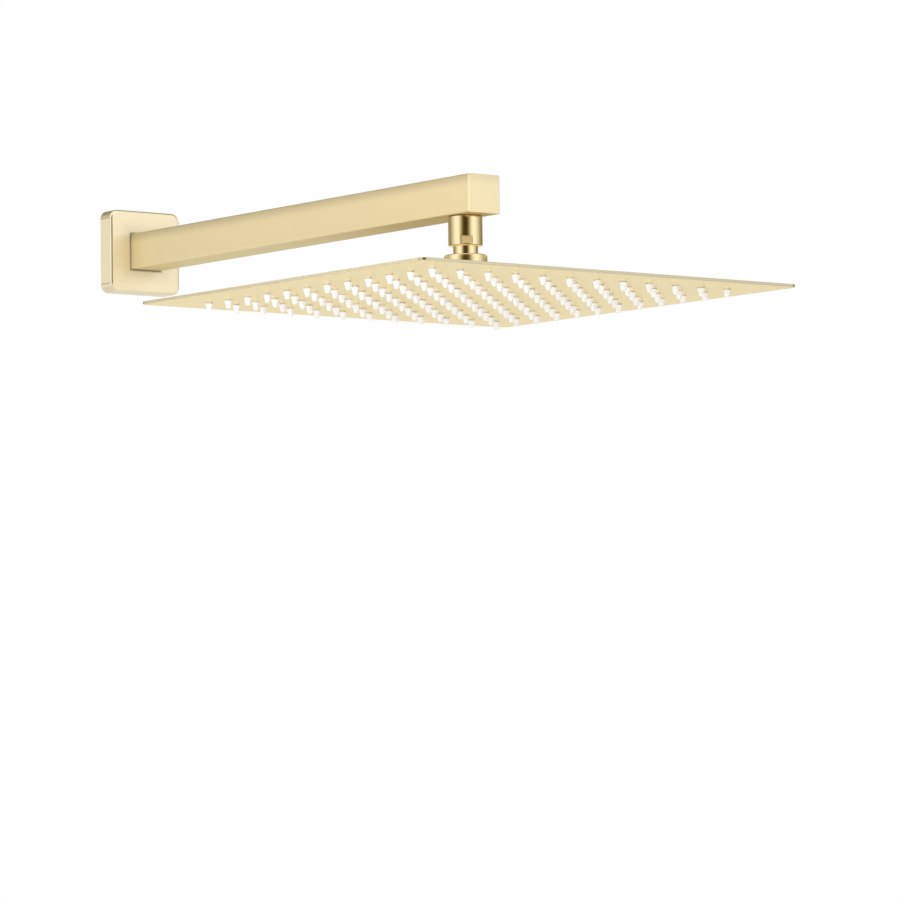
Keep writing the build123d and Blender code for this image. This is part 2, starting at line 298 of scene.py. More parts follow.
def noise_node(tree, place, scale, detail=2.0):
    """A noise texture read at a place; returns its 0 to 1 value."""
    node = tree.nodes.new("ShaderNodeTexNoise")
    node.inputs["Scale"].default_value = scale
    node.inputs["Detail"].default_value = detail
    tree.links.new(place, node.inputs["Vector"])
    return node.outputs["Fac"]


def surface_from_height(group, height, sink):
    """Ends a group: shades the colour, spreads the roughness and bumps the surface from one height."""
    centred = math_node(group, "SUBTRACT", height, 0.5)
    shade = math_node(group, "MULTIPLY_ADD", centred, sink["source"].outputs["Colour Spread"])
    shade.node.inputs[2].default_value = 1.0
    tinted = group.nodes.new("ShaderNodeVectorMath")
    tinted.operation = "SCALE"
    group.links.new(sink["source"].outputs["Colour"], tinted.inputs[0])
    group.links.new(shade, tinted.inputs["Scale"])
    group.links.new(tinted.outputs[0], sink["drain"].inputs["Colour"])
    spread = math_node(group, "MULTIPLY", centred, sink["source"].outputs["Roughness Spread"])
    rough = math_node(group, "ADD", spread, sink["source"].outputs["Roughness"])
    group.links.new(rough, sink["drain"].inputs["Roughness"])
    bump = group.nodes.new("ShaderNodeBump")
    bump.inputs["Distance"].default_value = BUMP_HEIGHT
    group.links.new(sink["source"].outputs["Depth"], bump.inputs["Strength"])
    group.links.new(height, bump.inputs["Height"])
    group.links.new(bump.outputs[0], sink["drain"].inputs["Normal"])


SURFACE_INPUTS = [
    ("Colour", "NodeSocketColor", (0.8, 0.8, 0.8, 1.0)),
    ("Colour Spread", "NodeSocketFloat", 0.1),
    ("Roughness", "NodeSocketFloat", 0.3),
    ("Roughness Spread", "NodeSocketFloat", 0.1),
    ("Depth", "NodeSocketFloat", 0.1),
]
SURFACE_OUTPUTS = [
    ("Colour", "NodeSocketColor"),
    ("Roughness", "NodeSocketFloat"),
    ("Normal", "NodeSocketVector"),
]


def object_place(tree):
    """The place on the piece, in metres."""
    return tree.nodes.new("ShaderNodeTexCoord").outputs["Object"]


def stretched(tree, place, factors):
    """A place with each axis scaled, by a plain triple or by a socket."""
    node = tree.nodes.new("ShaderNodeVectorMath")
    node.operation = "MULTIPLY"
    tree.links.new(place, node.inputs[0])
    if isinstance(factors, tuple):
        node.inputs[1].default_value = factors
    else:
        tree.links.new(factors, node.inputs[1])
    return node.outputs[0]


# Brushed grain: long fine scratches over broader streaks, drawn out along the axis whose stroke is small.
brushed_grain, grain_in, grain_out = effect_group(
    "brushed_grain", SURFACE_INPUTS + [("Stroke", "NodeSocketVector", (1.0, 1.0, 1.0))], SURFACE_OUTPUTS)
grain_place = stretched(brushed_grain, object_place(brushed_grain), grain_in.outputs["Stroke"])
fine_scratch = noise_node(brushed_grain, grain_place, 6000.0, 3.0)
broad_streak = noise_node(brushed_grain, grain_place, 700.0, 2.0)
fine_share = math_node(brushed_grain, "MULTIPLY", fine_scratch, 0.6)
broad_share = math_node(brushed_grain, "MULTIPLY", broad_streak, 0.4)
grain_height = math_node(brushed_grain, "ADD", fine_share, broad_share)
surface_from_height(brushed_grain, grain_height, {"source": grain_in, "drain": grain_out})

# Edge wear and painted edge highlight: a mask that rises where a surface turns sharply within the given
# width. It lightens worn edges, and on the flange it lays a painted highlight.
edge_wear_and_highlight, edge_mask_in, edge_mask_out = effect_group(
    "edge_wear_and_highlight", [("Width", "NodeSocketFloat", 0.0004)], [("Mask", "NodeSocketFloat")])
edge_bevel = edge_wear_and_highlight.nodes.new("ShaderNodeBevel")
edge_bevel.samples = 4
edge_wear_and_highlight.links.new(edge_mask_in.outputs["Width"], edge_bevel.inputs["Radius"])
edge_face = edge_wear_and_highlight.nodes.new("ShaderNodeNewGeometry")
edge_turn = edge_wear_and_highlight.nodes.new("ShaderNodeVectorMath")
edge_turn.operation = "DOT_PRODUCT"
edge_wear_and_highlight.links.new(edge_bevel.outputs[0], edge_turn.inputs[0])
edge_wear_and_highlight.links.new(edge_face.outputs["Normal"], edge_turn.inputs[1])
edge_gap = math_node(edge_wear_and_highlight, "SUBTRACT", 1.0, edge_turn.outputs["Value"])
edge_mask = math_node(edge_wear_and_highlight, "MULTIPLY", edge_gap, 4.0)
edge_mask.node.use_clamp = True
edge_wear_and_highlight.links.new(edge_mask, edge_mask_out.inputs["Mask"])


def place_effect(tree, group, **values):
    """Places a shared effect in a material; each value goes to the socket of that name."""
    node = tree.nodes.new("ShaderNodeGroup")
    node.node_tree = group
    for label, value in values.items():
        node.inputs[label.replace("_", " ").title()].default_value = value
    return node


def finish_surface(tree, shader, effect, edge_colour=None, edge_width=0.0004, edge_share=0.5):
    """Joins an effect to the shader, with lighter edges where an edge colour is given."""
    colour = effect.outputs["Colour"]
    if edge_colour:
        edge_look = place_effect(tree, edge_wear_and_highlight, width=edge_width)
        share = math_node(tree, "MULTIPLY", edge_look.outputs["Mask"], edge_share)
        mix = tree.nodes.new("ShaderNodeMix")
        mix.data_type = "RGBA"
        mix.inputs["B"].default_value = (*edge_colour, 1.0)
        tree.links.new(share, mix.inputs["Factor"])
        tree.links.new(colour, mix.inputs["A"])
        colour = mix.outputs["Result"]
    tree.links.new(colour, shader.inputs["Base Color"])
    tree.links.new(effect.outputs["Roughness"], shader.inputs["Roughness"])
    tree.links.new(effect.outputs["Normal"], shader.inputs["Normal"])


def brushed_metal(name, colour, stroke, roughness, spread=0.05, depth=0.12, edge_colour=None, glance=None,
                  metallic=1.0):
    """Brushed and coated metal, its scratches drawn out along one axis; `glance` tints it seen edge-on."""
    finish, tree, shader = start_material(name, colour, roughness, metallic)
    shader.inputs["Specular Tint"].default_value = (*(glance or (1.0, 1.0, 1.0)), 1.0)
    effect = place_effect(tree, brushed_grain, colour=(*colour, 1.0), colour_spread=spread,
                          roughness=roughness, roughness_spread=0.12, depth=depth, stroke=stroke)
    finish_surface(tree, shader, effect, edge_colour)
    return finish


def dress(node, finish):
    """Gives a frame node its finish."""
    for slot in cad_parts[node].material_slots:
        slot.material = finish


def paint_shade_between(tree, shader, reach, start, end, first, last):
    """Painted shade: scales the base colour by a share that goes smoothly from `first` to `last` as the
    reach grows.
    """
    ramp = tree.nodes.new("ShaderNodeMapRange")
    ramp.interpolation_type = "SMOOTHSTEP"
    for label, value in (("From Min", start), ("From Max", end), ("To Min", first), ("To Max", last)):
        ramp.inputs[label].default_value = value
    tree.links.new(reach, ramp.inputs["Value"])
    shaded = tree.nodes.new("ShaderNodeVectorMath")
    shaded.operation = "SCALE"
    tree.links.new(shader.inputs["Base Color"].links[0].from_socket, shaded.inputs[0])
    tree.links.new(ramp.outputs["Result"], shaded.inputs["Scale"])
    tree.links.new(shaded.outputs[0], shader.inputs["Base Color"])


def paint_shade_on_upper_edge(finish, share):
    """Paints shade into a finish: darker towards the arm's top edges."""
    tree = finish.node_tree
    height = tree.nodes.new("ShaderNodeSeparateXYZ")
    tree.links.new(object_place(tree), height.inputs[0])
    paint_shade_between(tree, tree.nodes["Principled BSDF"], height.outputs["Z"], PAINTED_SHADE_START, PAINTED_SHADE_END, 1.0,
                  1.0 - share)
    return finish


# The tube's finish carries painted shade and the end plate's finish carries painted light.
arm_gold_painted_shade = brushed_metal("arm_brushed_gold_painted_shade", ARM_GOLD_PAINTED_SHADE, LENGTHWISE, ARM_ROUGHNESS,
                         edge_colour=ARM_EDGE, glance=ARM_GLANCE, metallic=ARM_METALLIC)
cap_gold_painted_light = brushed_metal("end_brushed_gold_painted_light", CAP_GOLD_PAINTED_LIGHT, CROSSWISE, ARM_ROUGHNESS,
                         edge_colour=ARM_EDGE, glance=ARM_GLANCE, metallic=ARM_METALLIC)
# Both finishes get painted shade towards the arm's top edges.
dress("arm_tube", paint_shade_on_upper_edge(arm_gold_painted_shade, TUBE_PAINTED_SHADE))
dress("arm_end_cap", paint_shade_on_upper_edge(cap_gold_painted_light, CAP_PAINTED_SHADE))

# --- Wall connector --------------------------------------------------------------------------------
# Brass: a square plug brazed into the tube, and a nipple that is turned, bored and cut with a pipe
# thread for the wall outlet. The thread is a core at root size with one tooth wound round it.
WALL_BORE = 0.0075
WALL_CREST = 0.0104775
WALL_PITCH = 0.001814
WALL_TOOTH = 0.0011
PLUG_DEPTH = 0.012
THREAD_CHAMFER = 0.001
THREAD_STEPS = 36
PLUG_STEPS = 32
BRASS_ROUGHNESS = 0.30
RAW_BRASS = (0.68, 0.48, 0.20)
BRASS_EDGE = (0.80, 0.64, 0.36)
connector_low, connector_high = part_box("wall_connector")
ALONG_ARM = Vector((0, 1, 0))


def new_piece(name, bm, finish, body, slot, *replaced, smooth_angle=35):
    """Makes a bmesh a shaded piece with its finish, says what it rides on, and hides the frame nodes it
    stands for.
    """
    bmesh.ops.remove_doubles(bm, verts=bm.verts, dist=1e-6)
    bmesh.ops.recalc_face_normals(bm, faces=bm.faces)
    mesh = bpy.data.meshes.new(name)
    bm.to_mesh(mesh)
    bm.free()
    mesh.shade_smooth()
    mesh.set_sharp_from_angle(angle=math.radians(smooth_angle))
    mesh.materials.append(finish)
    piece = bpy.data.objects.new(name, mesh)
    scene.collection.objects.link(piece)
    if replaced:
        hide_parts(*replaced)
    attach(piece, body)
    return piece


def only_verts(parts):
    """The vertices among the parts that a bmesh step gives back."""
    return [part for part in parts if isinstance(part, bmesh.types.BMVert)]


def turn_outline(bm, outline, centre, axis, steps):
    """Spins a closed outline of (radius, distance along the axis) points right round the axis."""
    side = Vector((1, 0, 0))
    ring = [bm.verts.new(centre + side * radius + axis * along) for radius, along in outline]
    edges = [bm.edges.new((ring[i - 1], ring[i])) for i in range(len(ring))]
    bmesh.ops.spin(bm, geom=ring + edges, cent=centre, axis=axis, angle=2 * math.pi, steps=steps,
                   use_merge=True)


def wind_thread(bm, centre, axis, crest, tooth_depth, pitch, start, end):
    """Winds one thread tooth round the axis between two distances along it, and closes its two ends."""
    turns = int((end - start) / pitch)
    root = crest - 1.15 * tooth_depth
    side = Vector((1, 0, 0))
    section = [(root, -0.46), (crest, -0.07), (crest, 0.07), (root, 0.46)]
    tooth = [bm.verts.new(centre + side * radius + axis * (start + pitch * (share + 0.5)))
             for radius, share in section]
    edges = [bm.edges.new((tooth[i - 1], tooth[i])) for i in range(len(tooth))]
    wound = bmesh.ops.spin(bm, geom=tooth + edges, cent=centre, axis=axis,
                           dvec=axis * (pitch / THREAD_STEPS), angle=2 * math.pi * turns,
                           steps=THREAD_STEPS * turns)
    bm.faces.new(tooth)
    bm.faces.new(only_verts(wound["geom_last"]))


turning_marks, turned_in, turned_out = effect_group(
    "turning_marks", SURFACE_INPUTS + [("Along", "NodeSocketVector", (0.0, 0.0, 1.0))], SURFACE_OUTPUTS)
turned_place = stretched(turning_marks, object_place(turning_marks), turned_in.outputs["Along"])
tool_marks = noise_node(turning_marks, turned_place, 5000.0, 2.0)
handling_film = noise_node(turning_marks, object_place(turning_marks), 150.0, 3.0)
marks_share = math_node(turning_marks, "MULTIPLY", tool_marks, 0.7)
film_share = math_node(turning_marks, "MULTIPLY", handling_film, 0.3)
turned_height = math_node(turning_marks, "ADD", marks_share, film_share)
surface_from_height(turning_marks, turned_height, {"source": turned_in, "drain": turned_out})


def turned_metal(name, colour, along, roughness, spread=0.05, depth=0.05, edge_colour=None, glance=None):
    """Metal turned on a lathe: fine rings across the axis given; `glance` tints it seen edge-on."""
    finish, tree, shader = start_material(name, colour, roughness, 1.0)
    shader.inputs["Specular Tint"].default_value = (*(glance or (1.0, 1.0, 1.0)), 1.0)
    effect = place_effect(tree, turning_marks, colour=(*colour, 1.0), colour_spread=spread,
                          roughness=roughness, roughness_spread=0.1, depth=depth, along=along)
    finish_surface(tree, shader, effect, edge_colour)
    return finish


bm = bmesh.new()
plug_front = connector_low.y + PLUG_DEPTH
wall_root = WALL_CREST - WALL_TOOTH
thread_end = connector_high.y
turn_outline(bm, [
    (WALL_BORE, plug_front), (wall_root, plug_front), (wall_root, thread_end - THREAD_CHAMFER),
    (wall_root - THREAD_CHAMFER, thread_end), (WALL_BORE, thread_end),
], Vector(), ALONG_ARM, THREAD_STEPS)
wind_thread(bm, Vector(), ALONG_ARM, WALL_CREST, WALL_TOOTH, WALL_PITCH, plug_front,
            thread_end - THREAD_CHAMFER)
plug_turn = Matrix.Translation((0, connector_low.y, 0)) @ Matrix.Rotation(math.radians(90), 4, "X")
bmesh.ops.create_circle(bm, segments=PLUG_STEPS, radius=WALL_BORE, matrix=plug_turn)
border = bmesh.ops.create_circle(bm, segments=PLUG_STEPS, radius=WALL_BORE, matrix=plug_turn)["verts"]
for corner in border:
    reach = connector_high.x / max(abs(corner.co.x), abs(corner.co.z))
    corner.co = Vector((corner.co.x * reach, corner.co.y, corner.co.z * reach))
loops = [edge for edge in bm.edges if edge.is_wire]
plug_faces = bmesh.ops.bridge_loops(bm, edges=loops)["faces"]
walls = bmesh.ops.extrude_face_region(bm, geom=plug_faces, use_keep_orig=True)["geom"]
bmesh.ops.translate(bm, vec=ALONG_ARM * PLUG_DEPTH, verts=only_verts(walls))
wall_brass = turned_metal("wall_raw_brass", RAW_BRASS, (0.0, 1.0, 0.0), BRASS_ROUGHNESS, 0.15, 0.15,
                          BRASS_EDGE)
new_piece("wall_nipple_threaded", bm, wall_brass, "arm", "raw_brass", "wall_connector")

# --- Outlet nipple ---------------------------------------------------------------------------------
# Brass nipple dropped through the arm's underside from within: a round collar that is brazed to the
# tube's floor, and a threaded stub below it that the ball stud screws onto.
OUTLET_BORE = 0.006
OUTLET_CREST = 0.00833
OUTLET_PITCH = 0.001337
OUTLET_TOOTH = 0.0008
OUTLET_COLLAR = 0.002
outlet_low, outlet_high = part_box("outlet_nipple")
OUTLET = Vector(((outlet_low.x + outlet_high.x) / 2, (outlet_low.y + outlet_high.y) / 2, 0))
UPWARD = Vector((0, 0, 1))
collar_radius = (outlet_high.x - outlet_low.x) / 2
collar_foot = outlet_high.z - OUTLET_COLLAR
outlet_root = OUTLET_CREST - OUTLET_TOOTH
bm = bmesh.new()
turn_outline(bm, [
    (OUTLET_BORE, outlet_low.z), (outlet_root - 0.0003, outlet_low.z), (outlet_root, outlet_low.z + 0.0004),
    (outlet_root, collar_foot - 0.001), (OUTLET_CREST, collar_foot - 0.0006), (OUTLET_CREST, collar_foot),
    (collar_radius, collar_foot), (collar_radius, outlet_high.z - 0.0003),
    (collar_radius - 0.0003, outlet_high.z), (OUTLET_BORE, outlet_high.z),
], OUTLET, UPWARD, THREAD_STEPS)
wind_thread(bm, OUTLET, UPWARD, OUTLET_CREST, OUTLET_TOOTH, OUTLET_PITCH, outlet_low.z + 0.0003,
            collar_foot - 0.0004)
outlet_brass = turned_metal("outlet_raw_brass", RAW_BRASS, (0.0, 0.0, 1.0), BRASS_ROUGHNESS, 0.15, 0.15,
                            BRASS_EDGE)
new_piece("outlet_nipple_threaded", bm, outlet_brass, "arm", "raw_brass", "outlet_nipple")

# --- Wall flange -----------------------------------------------------------------------------------
# Pressed steel cover, blasted and coated: a paler, flatter gold than the arm's. Its rounded edges and
# corners are polished and carry a painted highlight, a lighter gold along the edges, and its face has a
# painted shadow close round the arm's hole. It slides along the arm to the wall.
FLANGE_GOLD = (0.855, 0.755, 0.525)
# Painted highlight: a lighter gold laid along the flange's rounded edges.
FLANGE_EDGE_HIGHLIGHT = (0.95, 0.87, 0.68)
FLANGE_ROUGHNESS = 0.40
FLANGE_SOFTNESS = 0.0022
# Painted shadow round the arm's hole: a narrow dark line at the gap and a broad painted shade, each as the
# reach where it is darkest, the reach where it has faded, and how much it darkens.
GAP_PAINTED_SHADOWS = ((0.0130, 0.0142, 0.50), (0.0130, 0.0230, 0.10))
FLANGE_STRAIGHT = 0.0225
FLANGE_METALLIC = 0.65
POLISHED_METALLIC = 0.95
FLANGE_POLISHED = 0.23
FACE_MARGIN = 0.0002
FLANGE_HIGHLIGHT_WIDTH = 0.0008
flange_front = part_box("wall_flange")[0].y

satin_coat, satin_in, satin_out = effect_group("satin_coat", SURFACE_INPUTS, SURFACE_OUTPUTS)
blast_grain = noise_node(satin_coat, object_place(satin_coat), 3500.0, 2.0)
coat_drift = noise_node(satin_coat, object_place(satin_coat), 60.0, 2.0)
blast_share = math_node(satin_coat, "MULTIPLY", blast_grain, 0.6)
drift_share = math_node(satin_coat, "MULTIPLY", coat_drift, 0.4)
satin_height = math_node(satin_coat, "ADD", blast_share, drift_share)
surface_from_height(satin_coat, satin_height, {"source": satin_in, "drain": satin_out})


def blend_in(tree, shader, label, mask, value):
    """Blends another value into a shader socket where the mask is 1."""
    mix = tree.nodes.new("ShaderNodeMix")
    mix.data_type = "RGBA" if isinstance(value, tuple) else "FLOAT"
    ends = {socket.name: socket for socket in mix.inputs if socket.enabled}
    joined = shader.inputs[label].links
    if joined:
        tree.links.new(joined[0].from_socket, ends["A"])
    else:
        ends["A"].default_value = shader.inputs[label].default_value
    ends["B"].default_value = value
    tree.links.new(mask, ends["Factor"])
    tree.links.new(next(socket for socket in mix.outputs if socket.enabled), shader.inputs[label])


flange_gold, tree, shader = start_material("flange_satin_gold", FLANGE_GOLD, FLANGE_ROUGHNESS,
                                           FLANGE_METALLIC)
effect = place_effect(tree, satin_coat, colour=(*FLANGE_GOLD, 1.0), colour_spread=0.05,
                      roughness=FLANGE_ROUGHNESS, roughness_spread=0.1, depth=0.08)
# The lighter colour along the edges is a painted highlight on the polished edges.
finish_surface(tree, shader, effect, FLANGE_EDGE_HIGHLIGHT, FLANGE_HIGHLIGHT_WIDTH)
place = tree.nodes.new("ShaderNodeSeparateXYZ")
tree.links.new(object_place(tree), place.inputs[0])
across = math_node(tree, "ABSOLUTE", place.outputs["X"], 0.0)
above_or_below = math_node(tree, "ABSOLUTE", place.outputs["Z"], 0.0)
from_middle = math_node(tree, "MAXIMUM", across, above_or_below)
# Painted shadow: darkens the face close round the arm's hole.
for start, end, share in GAP_PAINTED_SHADOWS:
    paint_shade_between(tree, shader, from_middle, start, end, 1.0 - share, 1.0)
off_face = math_node(tree, "GREATER_THAN", place.outputs["Y"], flange_front + FACE_MARGIN)
behind_edge = math_node(tree, "GREATER_THAN", place.outputs["Y"], flange_front + FLANGE_SOFTNESS)
inner_x = math_node(tree, "LESS_THAN", across, FLANGE_STRAIGHT)
inner_z = math_node(tree, "LESS_THAN", above_or_below, FLANGE_STRAIGHT)
straight = math_node(tree, "MULTIPLY", behind_edge, math_node(tree, "MAXIMUM", inner_x, inner_z))
turning = math_node(tree, "SUBTRACT", off_face, straight)
blend_in(tree, shader, "Roughness", turning, FLANGE_POLISHED)
blend_in(tree, shader, "Metallic", turning, POLISHED_METALLIC)
dress("wall_flange", flange_gold)

# --- Flange grip ring ------------------------------------------------------------------------------
# Square ring of black rubber in the flange's collar. It grips the arm and keeps the flange where it is
# pushed. Moulded, so it has a fine matt grain.
BLACK_RUBBER = (0.022, 0.022, 0.023)


def moulded(name, colour, roughness, spread=0.1, depth=0.1, sheen=0.0):
    """A moulded piece: an even matt grain with a little drift in tone."""
    finish, tree, shader = start_material(name, colour, roughness)
    shader.inputs["Sheen Weight"].default_value = sheen
    effect = place_effect(tree, satin_coat, colour=(*colour, 1.0), colour_spread=spread,
                          roughness=roughness, roughness_spread=0.15, depth=depth)
    finish_surface(tree, shader, effect)
    return finish


rubber = moulded("moulded_black_rubber", BLACK_RUBBER, 0.62, 0.3, 0.25, 0.15)
dress("flange_grip_ring", rubber)

# --- Flange foam gasket ----------------------------------------------------------------------------
# Frame cut from grey closed-cell foam and glued in the flange's back, to seal against the tiles. Cut
# cells show on its faces as small pits.
FOAM_GREY = (0.16, 0.16, 0.165)
foam_cells, foam_in, foam_out = effect_group("foam_cells", SURFACE_INPUTS, SURFACE_OUTPUTS)
cells = foam_cells.nodes.new("ShaderNodeTexVoronoi")
cells.inputs["Scale"].default_value = 1600.0
foam_cells.links.new(object_place(foam_cells), cells.inputs["Vector"])
surface_from_height(foam_cells, cells.outputs["Distance"], {"source": foam_in, "drain": foam_out})
foam, tree, shader = start_material("cut_grey_foam", FOAM_GREY, 0.85)
effect = place_effect(tree, foam_cells, colour=(*FOAM_GREY, 1.0), colour_spread=0.5, roughness=0.85,
                      roughness_spread=0.1, depth=0.9)
finish_surface(tree, shader, effect)
dress("flange_foam_gasket", foam)

# --- Ball stud -------------------------------------------------------------------------------------
# Upper nut, neck and ball turned from one brass bar, bored for water, polished and plated in gold. Two
# wrench flats are milled into the nut after turning, so they are duller than the rest.
HEAD_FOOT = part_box("face_plate")[0].z
TURNED_STEPS = 96
POLISHED_GOLD = (0.87, 0.715, 0.42)
POLISHED_EDGE = (0.93, 0.82, 0.58)
POLISHED_GLANCE = (0.90, 0.80, 0.50)
POLISHED_ROUGHNESS = 0.12
STUD_FLAT_ROUGHNESS = 0.62
MILLED_MARGIN = 0.0001
BALL_STEPS = 16
NUT_RADIUS = 0.011
NUT_FOOT = 0.0322
NUT_TOP = 0.0512
NUT_CHAMFER = 0.0004
NECK_RADIUS = 0.008
BALL_HEIGHT = 0.017
BALL_RADIUS = 0.0115
BALL_FOOT = 0.0085
STUD_BORES = [(0.0035, 0.0343), (0.0045, 0.0388), (0.00838, NUT_TOP)]
FLAT_TURN = math.radians(-33)
FLAT_HALF_WIDTH = 0.0038
FLAT_HEIGHTS = (0.0329, 0.0379)
ABOVE_HEAD = OUTLET + Vector((0, 0, HEAD_FOOT))


def mill_flat(bm, facing_way, distance, heights):
    """Cuts a flat across a turned piece: its plane faces one way, between two heights above the head."""
    low, high = (HEAD_FOOT + height for height in heights)
    for cut in (low, high):
        bmesh.ops.bisect_plane(bm, geom=bm.verts[:] + bm.edges[:] + bm.faces[:], dist=1e-7,
                               plane_co=(0, 0, cut), plane_no=(0, 0, 1))

    def beyond(face, depth):
        centre = face.calc_center_median()
        return low < centre.z < high and (centre - OUTLET).dot(facing_way) > depth

    band = [face for face in bm.faces if beyond(face, 0.9 * distance)]
    parts = {part for face in band for part in (*face.verts, *face.edges, face)}
    bmesh.ops.bisect_plane(bm, geom=list(parts), dist=1e-7, plane_co=OUTLET + facing_way * distance,
                           plane_no=facing_way)
    outside = [face for face in bm.faces if beyond(face, distance)]
    pressed = bmesh.ops.extrude_face_region(bm, geom=outside)["geom"]
    for vert in only_verts(pressed):
        vert.co -= facing_way * max(0.0, (vert.co - OUTLET).dot(facing_way) - distance)
    leftover = [face for face in outside if face.is_valid]
    bmesh.ops.delete(bm, geom=leftover, context="FACES")


def milled_metal(name, within, heights, roughness):
    """Polished gold on a turned piece, duller where it is cut in from the round between two heights."""
    finish = turned_metal(name, POLISHED_GOLD, (0.0, 0.0, 1.0), POLISHED_ROUGHNESS, 0.03, 0.01,
                          POLISHED_EDGE, POLISHED_GLANCE)
    tree = finish.node_tree
    shader = tree.nodes["Principled BSDF"]
    from_axis = tree.nodes.new("ShaderNodeVectorMath")
    from_axis.operation = "SUBTRACT"
    from_axis.inputs[1].default_value = ABOVE_HEAD
    tree.links.new(object_place(tree), from_axis.inputs[0])
    radial = tree.nodes.new("ShaderNodeVectorMath")
    radial.operation = "LENGTH"
    tree.links.new(stretched(tree, from_axis.outputs[0], (1.0, 1.0, 0.0)), radial.inputs[0])
    height = tree.nodes.new("ShaderNodeSeparateXYZ")
    tree.links.new(from_axis.outputs[0], height.inputs[0])
    cut_in = math_node(tree, "LESS_THAN", radial.outputs["Value"], within)
    above = math_node(tree, "GREATER_THAN", height.outputs["Z"], heights[0])
    below = math_node(tree, "LESS_THAN", height.outputs["Z"], heights[1])
    milled = math_node(tree, "MULTIPLY", math_node(tree, "MULTIPLY", cut_in, above), below)
    dulling = math_node(tree, "MULTIPLY", milled, roughness - POLISHED_ROUGHNESS)
    duller = math_node(tree, "ADD", dulling, shader.inputs["Roughness"].links[0].from_socket)
    tree.links.new(duller, shader.inputs["Roughness"])
    return finish


neck_meets_ball = math.acos(NECK_RADIUS / BALL_RADIUS)
ball_ends = -math.asin((BALL_HEIGHT - BALL_FOOT) / BALL_RADIUS)
ball_curve = []
for step in range(BALL_STEPS + 1):
    turn = neck_meets_ball + (ball_ends - neck_meets_ball) * step / BALL_STEPS
    ball_curve.append((BALL_RADIUS * math.cos(turn), BALL_HEIGHT + BALL_RADIUS * math.sin(turn)))
stud_outline = [
    (NUT_RADIUS - NUT_CHAMFER, NUT_TOP), (NUT_RADIUS, NUT_TOP - NUT_CHAMFER),
    (NUT_RADIUS, NUT_FOOT + NUT_CHAMFER), (NUT_RADIUS - NUT_CHAMFER, NUT_FOOT), (NECK_RADIUS, NUT_FOOT),
    *ball_curve,
]
step_foot = BALL_FOOT
for bore_radius, bore_top in STUD_BORES:
    stud_outline += [(bore_radius, step_foot), (bore_radius, bore_top)]
    step_foot = bore_top
bm = bmesh.new()
turn_outline(bm, stud_outline, ABOVE_HEAD, UPWARD, TURNED_STEPS)
flat_distance = math.sqrt(NUT_RADIUS**2 - FLAT_HALF_WIDTH**2)
flat_way = Vector((math.sin(FLAT_TURN), -math.cos(FLAT_TURN), 0))
for side in (flat_way, -flat_way):
    mill_flat(bm, side, flat_distance, FLAT_HEIGHTS)
stud_gold = milled_metal("stud_polished_gold", NUT_RADIUS - MILLED_MARGIN, FLAT_HEIGHTS,
                         STUD_FLAT_ROUGHNESS)
new_piece("ball_stud_turned", bm, stud_gold, "ball_stud", "polished_gold_brass", "ball_stud")

# --- Stud washer, sieve and flow disc --------------------------------------------------------------
# A flat rubber washer seals the stud to the outlet. A round steel sieve sits in its hole, and below it a
# green plastic disc with six ports limits the flow.
SIEVE_STEEL = (0.56, 0.57, 0.58)
DISC_GREEN = (0.03, 0.24, 0.09)
dress("stud_washer", rubber)
dress("filter_screen", turned_metal("sieve_steel", SIEVE_STEEL, (1.0, 0.0, 0.0), 0.32, 0.1, 0.2))
dress("flow_restrictor", moulded("moulded_green_plastic", DISC_GREEN, 0.35, 0.15, 0.05))

# --- Upper bearing ring and ball seat --------------------------------------------------------------
# Two pieces of white nylon machined to the ball's curve: a ring above its waist and a cup below it. They
# let the head lean and spin on the ball.
NYLON = (0.84, 0.82, 0.76)
nylon, tree, shader = start_material("machined_nylon", NYLON, 0.42)
shader.inputs["Subsurface Weight"].default_value = 0.25
shader.inputs["Subsurface Radius"].default_value = (0.0012, 0.0010, 0.0008)
effect = place_effect(tree, turning_marks, colour=(*NYLON, 1.0), colour_spread=0.06, roughness=0.42,
                      roughness_spread=0.12, depth=0.2, along=(0.0, 0.0, 1.0))
finish_surface(tree, shader, effect)
dress("upper_bearing_ring", nylon)
dress("ball_seat", nylon)

# --- Ball seal -------------------------------------------------------------------------------------
# Rubber O-ring under the ball, which wipes it as the head leans. It lies greased in its pocket, so it is
# blacker and shinier than the washer.
dress("ball_seal", moulded("greased_black_rubber", BLACK_RUBBER, 0.28, 0.2, 0.05))

# --- Cap nut ---------------------------------------------------------------------------------------
# Brass cap that screws onto the hub and closes over the ball. It is turned, polished and plated like the
# stud, with two flats milled low down for a wrench.
CAP_RADIUS = 0.016
CAP_WAIST = 0.0139
CAP_FOOT = 0.0044
CAP_TOP = 0.0263
CAP_SHOULDER = 0.0185
CAP_EDGE = 0.0009
CAP_MOUTH = 0.0105
CAP_LIP = 0.0231
CAP_RING_BORE = 0.0127
CAP_HUB_BORE = 0.01455
CAP_HUB_TOP = 0.0147
CAP_FLAT_DISTANCE = 0.015
CAP_FLAT_HEIGHTS = (0.007, 0.015)
CAP_FLAT_ROUGHNESS = 0.3
CAP_CHAMFER = 0.0004
CAP_EDGE_STEPS = 6
cap_outline = [
    (CAP_HUB_BORE, CAP_FOOT), (CAP_RADIUS - CAP_CHAMFER, CAP_FOOT), (CAP_RADIUS, CAP_FOOT + CAP_CHAMFER),
    (CAP_RADIUS, CAP_SHOULDER), (CAP_WAIST, CAP_SHOULDER + CAP_RADIUS - CAP_WAIST),
]
for step in range(CAP_EDGE_STEPS + 1):
    turn = math.radians(90) * step / CAP_EDGE_STEPS
    edge_radius = CAP_WAIST - CAP_EDGE * (1 - math.cos(turn))
    cap_outline.append((edge_radius, CAP_TOP - CAP_EDGE * (1 - math.sin(turn))))
